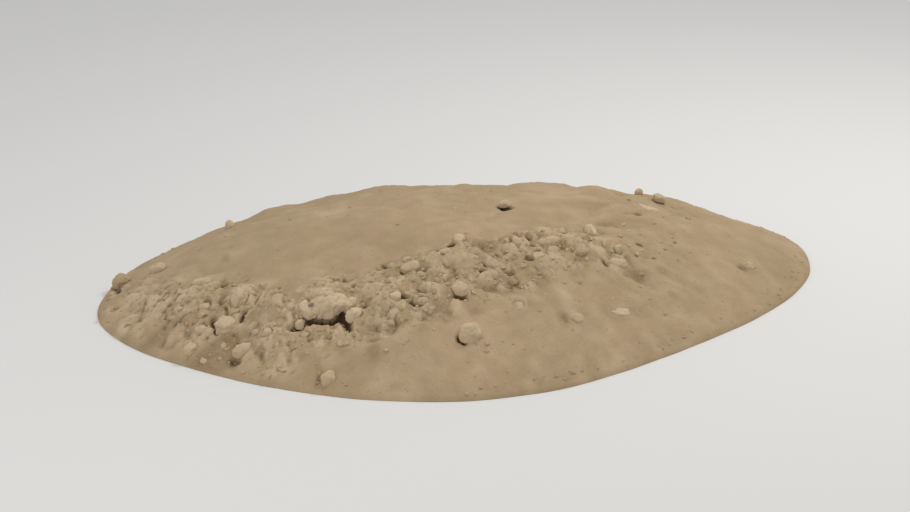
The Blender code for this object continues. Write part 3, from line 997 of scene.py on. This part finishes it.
def lay(name, forms, beds, sharp_from):
    """One joined mesh of base forms. A bed is (x, y, length, width, height, turn, sunk, tone)."""
    all_places = []
    all_triangles = []
    marks = {"tone": [], "hollow": [], "stain": []}
    count = 0
    for number, (x, y, length, width, height, turn, sunk, own_tone) in enumerate(beds):
        corners, triangles = forms[number % len(forms)]
        place, facing = skin_at(x, y, top_tree)
        facing = (facing + UPWARDS * UP).normalized()
        tip = UP.rotation_difference(facing).to_matrix()
        turned = np.array(tip @ Matrix.Rotation(turn, 3, "Z"))
        own = draw.uniform(-0.25, 0.25, 2)
        lean = np.array(Matrix.Rotation(own[0], 3, "X") @ Matrix.Rotation(own[1], 3, "Y"))
        corners = corners * np.array([length, width, height]) @ lean.T @ turned.T
        corners = corners + np.array(place + facing * height * (0.5 - sunk))
        corners[:, 2] = np.maximum(corners[:, 2], LOWEST_CRUMB)
        all_places.append(corners)
        all_triangles.append(triangles + count)
        count += len(corners)
        lift = (corners[:, 2] - place.z) / height
        marks["tone"].append(np.full(len(corners), own_tone))
        # Painted shade: each piece is darker towards its foot, where it meets the skin.
        marks["hollow"].append(0.10 * fade(lift, -0.1, 0.3))
        marks["stain"].append(np.zeros(len(corners)))
    marks = {mark: np.concatenate(values) for mark, values in marks.items()}
    piece = add_piece(name, np.concatenate(all_places), np.concatenate(all_triangles).tolist(),
                      marks, sharp_from)
    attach(piece, "root")
    print(name, len(beds), "pieces,", len(piece.data.polygons), "triangles")
    return piece


# %% Distinct pale blocks at their places in the photo: pixel, width and height in pixels
PALE_BLOCKS = (
    (181, 292, 11, 15), (207, 292, 10, 9), (219, 297, 11, 9), (267, 303, 8, 15),
    (285, 299, 11, 12), (262, 288, 12, 8), (180, 316, 9, 9), (227, 236, 8, 7),
    (438, 285, 6, 13), (473, 293, 7, 6), (392, 268, 7, 7), (325, 358, 11, 12),
    (384, 331, 10, 9), (391, 313, 7, 7), (466, 233, 7, 3), (502, 269, 9, 6),
    (612, 252, 5, 5), (642, 254, 9, 3), (567, 252, 5, 5), (189, 347, 14, 14),
    (253, 331, 12, 12), (279, 369, 9, 7), (407, 343, 8, 6), (297, 318, 6, 8),
    (243, 351, 12, 10), (290, 309, 9, 7), (206, 287, 10, 9), (340, 346, 9, 6),
)
BLOCK_SUNK = 0.62


def photo_bed(across, down, wide, tall):
    """A bed for a block that shows at a pixel, as wide and tall as it shows there."""
    place = spot(across, down)
    length = wide * METRES_PER_PIXEL
    rise = tall * METRES_PER_PIXEL
    depth = min(max(0.9 * rise, 0.75 * length), 1.3 * length)
    height = 0.75 * min(length, rise) + 0.003
    turn = draw.uniform(-0.4, 0.4) + VIEW_AZIMUTH
    pale = float(draw.uniform(0.8, 1.0))
    return (place.x, place.y, length, depth, height, turn, BLOCK_SUNK, pale)


photo_beds = [photo_bed(*block) for block in PALE_BLOCKS]
print("pale blocks:", len(photo_beds))

# %% Places and sizes for the rest
MOSTLY_SMALL = 2.4
MOSTLY_THICK = 1.4


def on_a_clod(x, y, clear):
    """Whether a point is within that many radii of the middle of a clod."""
    return any(math.hypot(x - clod_x, y - clod_y) < clear * radius
               for clod_x, clod_y, radius in clod_spots)


def scattered_beds(wanted, sizes, elsewhere, clear_of_clods):
    """Beds strewn over the mound, mostly small, thick in the rubble and thin elsewhere."""
    beds = []
    smallest, largest = sizes
    while len(beds) < wanted:
        x, y = random_place()
        keep = draw.uniform()
        length = smallest + (largest - smallest) * draw.uniform() ** MOSTLY_SMALL
        width = length * draw.uniform(0.6, 0.95)
        height = length * draw.uniform(0.45, 0.80)
        turn = draw.uniform(0, math.tau)
        sunk = draw.uniform(0.46, 0.68)
        own_tone = float(np.clip(draw.normal(0.72, 0.15), 0.2, 1.2))
        if keep > max(rubble_at(x, y) ** MOSTLY_THICK, elsewhere):
            continue
        if on_a_clod(x, y, clear_of_clods):
            continue
        beds.append((x, y, length, width, height, turn, sunk, own_tone))
    return beds


print("clods to keep clear of:", len(clod_spots))

# %% Crumbs that have rolled down to the toe


def toe_beds(wanted, sizes):
    """Beds along the foot of the mound, where crumbs come to rest."""
    beds = []
    for _ in range(wanted):
        angle = draw.uniform(0, math.tau)
        out = draw.uniform(0.950, 0.988)
        length = draw.uniform(*sizes)
        x, y = place_at(out, angle)
        beds.append((x, y, length, 0.8 * length, 0.6 * length, draw.uniform(0, math.tau),
                     draw.uniform(0.42, 0.6), draw.uniform(0.45, 0.75)))
    return beds


foot_crumbs = toe_beds(150, (0.004, 0.011))
print("crumbs at the toe:", len(foot_crumbs))

# %% The small rubble itself
beds = photo_beds + scattered_beds(120, (0.012, 0.028), elsewhere=0.006, clear_of_clods=1.0)
blocks = lay("broken_blocks", block_forms, beds, sharp_from=34)
beds = foot_crumbs + scattered_beds(430, (0.0055, 0.015), elsewhere=0.02, clear_of_clods=0.95)
crumbs = lay("crumbs", crumb_forms, beds, sharp_from=34)
beds = scattered_beds(2200, (0.0026, 0.0062), elsewhere=0.08, clear_of_clods=0.95)
grit = lay("grit", grit_forms, beds, sharp_from=40)

# %% [markdown]
# ## Nodes as sums
# A material is a sum of a few masks and colours. One small class wraps a socket so that masks
# can be added and multiplied like numbers, and one method makes any other node. Colours go
# through Mix nodes, because a Math node would turn them grey.

# %% A socket that can be used in sums


class Wire:
    """An output socket that adds Math nodes when it is used in a sum."""

    def __init__(self, finish, socket):
        self.finish = finish
        self.socket = socket

    def math(self, operation, first, second, clamp=False):
        """The wire that leaves a Math node."""
        return self.finish.node("ShaderNodeMath", {"operation": operation, "use_clamp": clamp},
                                {0: first, 1: second})

    def __add__(self, other):
        return self.math("ADD", self, other)

    def __sub__(self, other):
        return self.math("SUBTRACT", self, other)

    def __rsub__(self, other):
        return self.math("SUBTRACT", other, self)

    def __mul__(self, other):
        return self.math("MULTIPLY", self, other)

    __radd__ = __add__
    __rmul__ = __mul__

    def held(self):
        """The same value, kept from 0 to 1."""
        return self.math("ADD", self, 0.0, clamp=True)


print("operators of a wire:", [name for name in vars(Wire) if name.startswith("__r")])

# %% A material that any node can be added to


class Finish:
    """A material's node tree, with one way to add any node to it."""

    def __init__(self, name):
        self.material = bpy.data.materials.new(name)
        self.material.use_nodes = True
        self.tree = self.material.node_tree
        self.shader = self.tree.nodes["Principled BSDF"]

    def put(self, value, socket):
        """Link a wire to a socket, or set the socket's own value."""
        if isinstance(value, Wire):
            self.tree.links.new(value.socket, socket)
        else:
            socket.default_value = value

    def node(self, kind, settings=None, sockets=None, output=0):
        """A node of any kind: its settings first, then its sockets' values or wires."""
        made = self.tree.nodes.new(kind)
        for setting, value in (settings or {}).items():
            setattr(made, setting, value)
        for socket, value in (sockets or {}).items():
            self.put(value, made.inputs[socket])
        return Wire(self, made.outputs[output])

    def mix(self, share, first, second):
        """A colour between two others."""
        return self.node("ShaderNodeMix", {"data_type": "RGBA"}, {0: share, 6: first, 7: second}, 2)

    def noise(self, where, scale, detail=2.0, roughness=0.5):
        """Noise from about 0.25 to 0.75, with that many swells to a metre."""
        return self.node("ShaderNodeTexNoise", {"noise_dimensions": "3D"}, {
            "Vector": where, "Scale": scale, "Detail": detail, "Roughness": roughness})

    def mark(self, name):
        """A value that the mesh holds at each corner."""
        return self.node("ShaderNodeAttribute", {"attribute_name": name}, output=2)


print("ways to add a node:", [name for name in vars(Finish) if not name.startswith("_")])

# %% [markdown]
# ## Dry clay
# Dry clay is matt, warm and uneven. Its colour drifts between tan, a little pink and a little
# grey over a hand's width, and each crumb is a shade paler or darker. Crests are painted paler,
# partly as worn clay and partly as a painted highlight. Hollows and crevices get painted shade,
# darkened towards a near-black brown, and dips are browned, partly as browner soil and partly as
# painted shade. Grain finer than the net is left to a bump.

# %% The colours of the clay


def sunlit(red, green, blue):
    """An sRGB colour, 0 to 255, as the linear values that a shader takes."""
    return tuple((value / 255 + 0.055) ** 2.4 / 1.055 ** 2.4 for value in (red, green, blue)) + (1.0,)


TAN = sunlit(181, 158, 123)
WARM_TAN = sunlit(186, 159, 126)
GREY_TAN = sunlit(175, 154, 119)
OLIVE_TAN = sunlit(172, 153, 113)
PINK_TAN = sunlit(189, 159, 131)
PALE = sunlit(224, 201, 168)
DARK = sunlit(158, 135, 104)
BROWN = sunlit(148, 124, 92)
# The near-black brown of the painted shade in hollows, crevices and at the foot of pieces.
DEEP_SHADE = sunlit(66, 49, 26)
print("tan as a shader takes it:", [round(value, 3) for value in TAN])

# %% The finish of dry clay: how many swells of each noise go to a metre, and its bump
DRIFT_SWELLS = 4.5
PATCH_SWELLS = 17.0
OLIVE_SWELLS = 46.0
PINK_SWELLS = 61.0
SPECKLE_SWELLS = 260.0
GRAIN_SWELLS = 900.0
BUMP_SWELLS = (120.0, 330.0, 1100.0)
BUMP_DEPTH = 0.0022
BUMP_STRENGTH = 0.55


def dry_clay(name):
    """The matt, mottled finish of sun-baked clay."""
    clay = Finish(name)
    where = clay.node("ShaderNodeTexCoord", output=3)
    drift = (clay.noise(where, DRIFT_SWELLS, 3.0) * 3.2 - 1.1).held()
    patch = (clay.noise(where, PATCH_SWELLS, 3.0) * 3.6 - 1.3).held()
    speckle = clay.noise(where, SPECKLE_SWELLS, 3.0, 0.6) - 0.5
    grain = clay.noise(where, GRAIN_SWELLS, 2.0, 0.6) - 0.5
    colour = clay.mix(drift, WARM_TAN, GREY_TAN)
    colour = clay.mix(patch * 0.6, colour, TAN)
    olive = (clay.noise(where, OLIVE_SWELLS, 2.0) * 4.0 - 1.9).held()
    pink = (clay.noise(where, PINK_SWELLS, 2.0) * 4.0 - 1.9).held()
    colour = clay.mix(olive * 0.5, colour, OLIVE_TAN)
    colour = clay.mix(pink * 0.5, colour, PINK_TAN)
    tone = clay.mark("tone") + speckle * 0.5 + grain * 0.4
    colour = clay.mix(((tone - 0.5) * 0.95).held(), colour, PALE)
    colour = clay.mix(((0.5 - tone) * 1.2).held(), colour, DARK)
    # Browner patches of soil, together with painted shade in dips and on the clods' shady sides, are mixed
    # in as brown; painted shade in hollows, crevices and at the feet of pieces is mixed in as a near-black
    # brown.
    colour = clay.mix((clay.mark("stain") * (1 + speckle * 2)).held(), colour, BROWN)
    colour = clay.mix((clay.mark("hollow") + speckle * 0.2).held(), colour, DEEP_SHADE)
    clay.put(colour, clay.shader.inputs["Base Color"])
    clay.put(0.90 + grain * 0.2, clay.shader.inputs["Roughness"])
    clay.shader.inputs["Specular IOR Level"].default_value = 0.25
    coarse, middling, finest = BUMP_SWELLS
    height = clay.noise(where, middling, 4.0, 0.65) + 0.35 * clay.noise(where, finest, 2.0, 0.6)
    height = height + clay.noise(where, coarse, 3.0, 0.6)
    bump = clay.node("ShaderNodeBump", sockets={
        "Strength": BUMP_STRENGTH, "Distance": BUMP_DEPTH, "Height": height})
    clay.put(bump, clay.shader.inputs["Normal"])
    return clay.material


mound_clay = dry_clay("mound clay")
clod_clay = dry_clay("clod clay")
for piece in (mound_skin, rubble_crust):
    piece.data.materials.append(mound_clay)
for piece in clod_pieces + [blocks, crumbs, grit]:
    piece.data.materials.append(clod_clay)
print("materials:", mound_clay.name, "and", clod_clay.name)

# %% [markdown]
# ## The floor and the light
# In the photo the sun stands high, to the right and behind, and the open sky and pale ground
# fill the shadows. A lamp there, a larger and softer one in front on the left, a pale world
# around and a plain pale floor do the same.

# %% Floor and sky
FLOOR_SIZE = 14.0
FLOOR_DROP = 0.0003
SKY_STRENGTH = 0.60

floor_corners = np.array([[-1, -1, 0], [1, -1, 0], [1, 1, 0], [-1, 1, 0]]) * FLOOR_SIZE / 2
floor_corners = floor_corners - [0, 0, FLOOR_DROP]
floor = add_piece("floor", floor_corners, [(0, 1, 2, 3)], {})
floor_finish = Finish("floor")
floor_finish.shader.inputs["Base Color"].default_value = (0.80, 0.79, 0.77, 1.0)
floor_finish.shader.inputs["Roughness"].default_value = 0.9
floor.data.materials.append(floor_finish.material)

world = bpy.data.worlds.new("pale sky")
world.use_nodes = True
world.node_tree.nodes["Background"].inputs["Color"].default_value = (0.97, 0.98, 1.0, 1.0)
world.node_tree.nodes["Background"].inputs["Strength"].default_value = SKY_STRENGTH
bpy.context.scene.world = world
print("floor:", FLOOR_SIZE, "m across")

# %% Lamps
LAMP_DISTANCE = 3.2
KEY_SIZE = 0.9
KEY_POWER = 32.0
FILL_SIZE = 2.4
FILL_POWER = 16.0

view_right = Vector((math.cos(VIEW_AZIMUTH), math.sin(VIEW_AZIMUTH), 0))
view_away = Vector((-math.sin(VIEW_AZIMUTH), math.cos(VIEW_AZIMUTH), 0))


def add_lamp(name, towards, size, power, colour):
    """A round soft lamp that shines on the origin from a direction."""
    data = bpy.data.lights.new(name, "AREA")
    data.shape = "DISK"
    data.size = size
    data.energy = power
    data.color = colour
    lamp = bpy.data.objects.new(name, data)
    lamp.location = towards.normalized() * LAMP_DISTANCE
    lamp.rotation_euler = towards.to_track_quat("Z", "Y").to_euler()
    bpy.context.collection.objects.link(lamp)


from_sun = 0.48 * view_right + 0.24 * view_away + 0.84 * UP
from_open_sky = -0.55 * view_right - 0.66 * view_away + 0.60 * UP
add_lamp("key", from_sun, KEY_SIZE, KEY_POWER, (1.0, 0.97, 0.92))
add_lamp("fill", from_open_sky, FILL_SIZE, FILL_POWER, (1.0, 0.985, 0.96))
bpy.context.scene.view_settings.view_transform = "Standard"
print("lamps: key", KEY_POWER, "W, fill", FILL_POWER, "W")

# %% [markdown]
